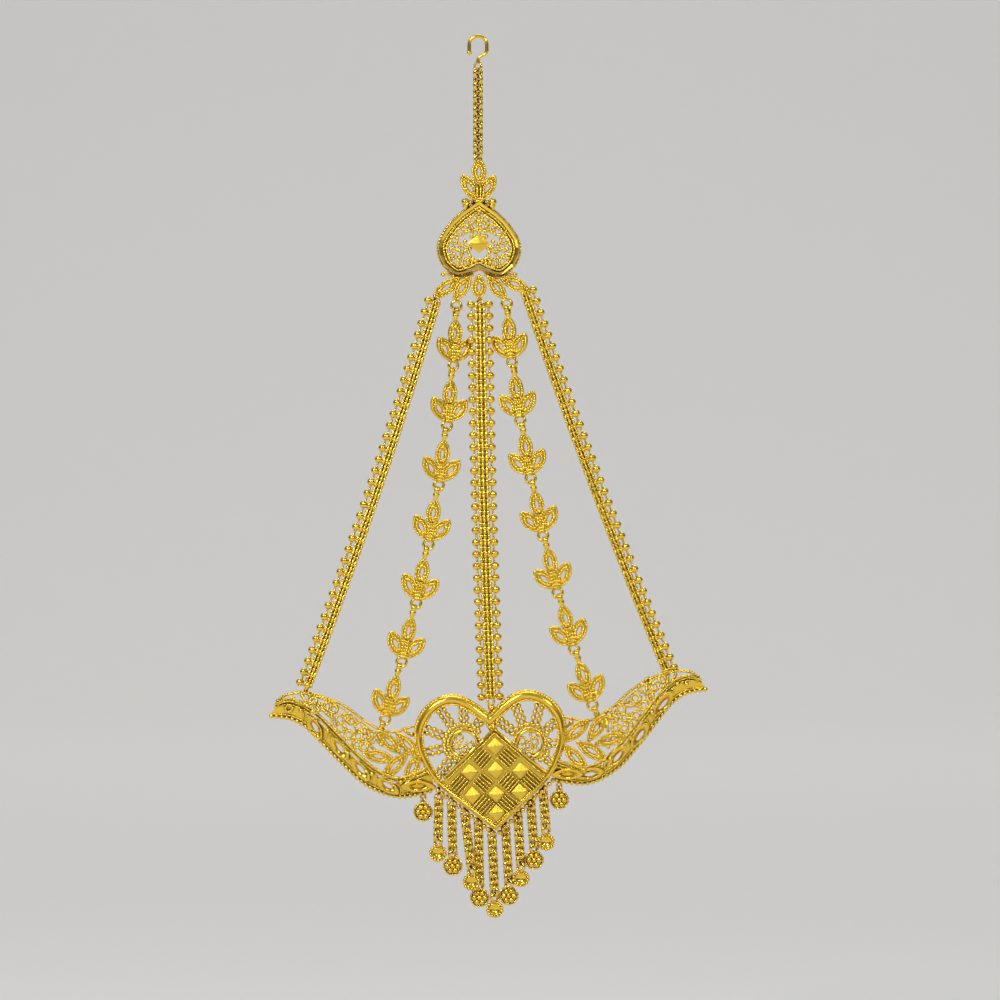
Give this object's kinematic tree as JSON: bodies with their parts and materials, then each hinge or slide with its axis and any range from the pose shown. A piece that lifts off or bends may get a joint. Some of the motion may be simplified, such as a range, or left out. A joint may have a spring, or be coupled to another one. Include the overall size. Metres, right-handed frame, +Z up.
{
  "type": "maang tikka",
  "caption": "Gold head ornament that hangs from a hair hook: pierced crown motif, beaded and leaf-link chains, pierced crescent with a heart, and a fringe of chains with discs.",
  "frame": {"origin": "inside of the hair hook's bend, where it hangs", "axes": "+Z up along the head chain, +X to the right as seen from the front, front faces -Y"},
  "size_m": [0.1084, 0.0067, 0.2209],
  "materials": {
    "gold_bright": "polished yellow gold",
    "gold_beaded": "satin yellow gold with fine beaded wire"
  },
  "bodies": {
    "root": {"band_centre": "gold_bright", "band_left": "gold_bright", "band_right": "gold_bright", "crescent": "gold_beaded", "crown_motif": "gold_beaded", "fringe_chain_1": "gold_bright", "fringe_chain_2": "gold_bright", "fringe_chain_3": "gold_bright", "fringe_chain_4": "gold_bright", "fringe_chain_5": "gold_bright", "fringe_chain_6": "gold_bright", "fringe_chain_7": "gold_bright", "fringe_chain_8": "gold_bright", "fringe_chain_9": "gold_bright", "fringe_disc_1": "gold_beaded", "fringe_disc_2": "gold_beaded", "fringe_disc_3": "gold_beaded", "fringe_disc_4": "gold_beaded", "fringe_disc_5": "gold_beaded", "fringe_disc_6": "gold_beaded", "fringe_disc_7": "gold_beaded", "fringe_disc_8": "gold_beaded", "fringe_disc_9": "gold_beaded", "hair_hook": "gold_bright", "head_chain": "gold_bright", "leaf_link_left_1": "gold_beaded", "leaf_link_left_2": "gold_beaded", "leaf_link_left_3": "gold_beaded", "leaf_link_left_4": "gold_beaded", "leaf_link_left_5": "gold_beaded", "leaf_link_left_6": "gold_beaded", "leaf_link_left_7": "gold_beaded", "leaf_link_right_1": "gold_beaded", "leaf_link_right_2": "gold_beaded", "leaf_link_right_3": "gold_beaded", "leaf_link_right_4": "gold_beaded", "leaf_link_right_5": "gold_beaded", "leaf_link_right_6": "gold_beaded", "leaf_link_right_7": "gold_beaded", "side_disc_left": "gold_beaded", "side_disc_right": "gold_beaded"}
  },
  "joints": []
}
